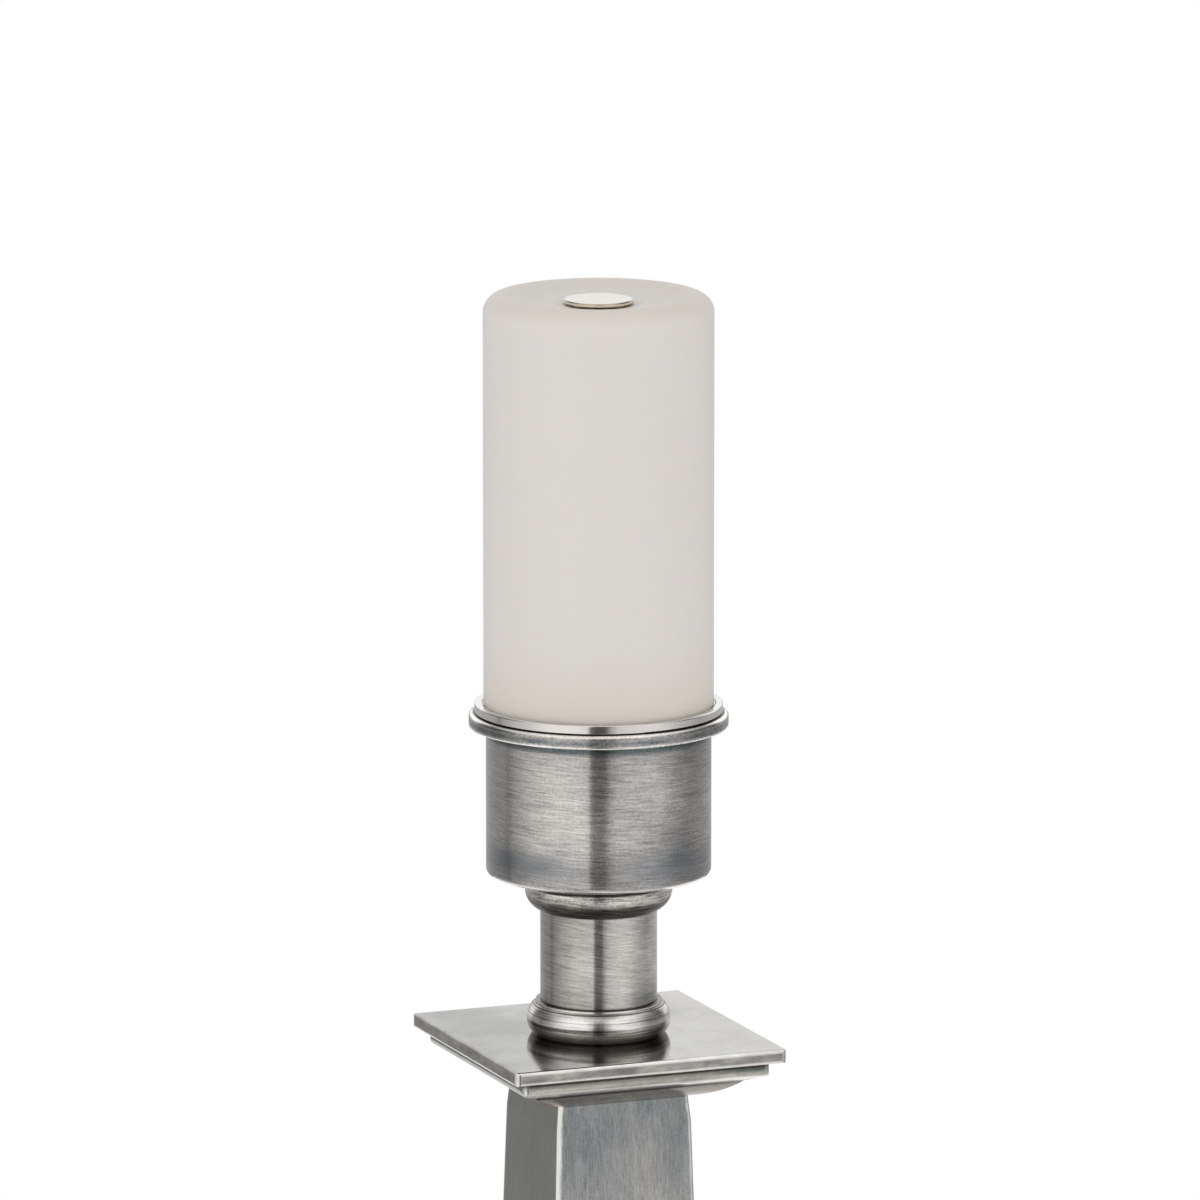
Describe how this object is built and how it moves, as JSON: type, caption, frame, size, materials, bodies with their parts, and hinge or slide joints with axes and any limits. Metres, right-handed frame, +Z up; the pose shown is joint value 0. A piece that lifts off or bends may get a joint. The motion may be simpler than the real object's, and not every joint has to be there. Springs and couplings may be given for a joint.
{
  "type": "cordless table lamp",
  "caption": "Cordless table lamp: opal glass cylinder light unit with a press cap, standing in a turned cup on a tapered square column with mitred mouldings and a square foot.",
  "frame": {"origin": "middle of the felt pad's underside, on the surface that the lamp stands on", "axes": "+Z up along the lamp's axis; the sides of the square foot, column and plate lie along X and Y, and -Y is the front"},
  "size_m": [0.12, 0.12, 0.5194],
  "materials": {
    "aged_nickel": "antique nickel plate, brushed and rubbed back at the edges",
    "aged_nickel_casting": "cast metal with the same antique nickel finish",
    "polished_nickel": "polished warm nickel",
    "opal_glass": "matt opal glass, white through its whole thickness",
    "zinc_plated_steel": "zinc plate",
    "plain_aluminium": "turned and left plain",
    "black_rubber": "matt",
    "black_felt": "pressed felt",
    "black_plastic": "fine matt moulding",
    "iron_ballast": "rough cast",
    "cell_sleeve": "shrunk plastic sleeve on a steel can",
    "green_board": "solder mask",
    "white_board": "white solder mask",
    "light_chip": "clear resin over phosphor",
    "red_plunger": "moulded"
  },
  "bodies": {
    "stand": {"base_pad": "black_felt", "base_cover": "zinc_plated_steel", "base_screws": "zinc_plated_steel", "base_weight": "iron_ballast", "base_foot": "aged_nickel_casting", "base_plinth": "aged_nickel_casting", "base_moulding": "aged_nickel_casting", "tie_washer": "zinc_plated_steel", "tie_nut": "zinc_plated_steel", "tie_rod": "zinc_plated_steel", "column": "aged_nickel", "cap_moulding": "aged_nickel_casting", "top_slab": "aged_nickel", "torus_collar": "aged_nickel", "neck_tube": "aged_nickel", "bead_collar": "aged_nickel", "cup": "aged_nickel", "cup_flange": "aged_nickel", "seat_ring": "black_rubber", "cup_nut": "zinc_plated_steel"},
    "light_unit": {"rim_ring": "polished_nickel", "battery_housing": "plain_aluminium", "housing_cover": "black_plastic", "cover_screws": "zinc_plated_steel", "charge_port": "zinc_plated_steel", "cell_holder": "black_plastic", "battery_cells": "cell_sleeve", "cell_contacts": "polished_nickel", "control_board": "green_board", "switch_body": "black_plastic", "heat_spreader": "plain_aluminium", "unit_screws": "zinc_plated_steel", "led_board": "white_board", "led_chips": "light_chip", "guide_tube": "polished_nickel", "tube_nut": "zinc_plated_steel", "glass_gasket": "black_rubber", "glass_shade": "opal_glass", "top_washer": "black_rubber", "top_nut": "polished_nickel"},
    "cap": {"press_cap": "polished_nickel", "push_rod": "polished_nickel", "switch_plunger": "red_plunger"}
  },
  "joints": [
    {"name": "light_unit_lift", "type": "slide", "parent": "stand", "child": "light_unit", "axis": [0, 0, 1], "range_m": [0, 0.06]},
    {"name": "cap_press", "type": "slide", "parent": "light_unit", "child": "cap", "axis": [0, 0, -1], "range_m": [0, 0.0004], "stiffness_N_per_m": 800, "springref_m": -0.001}
  ]
}
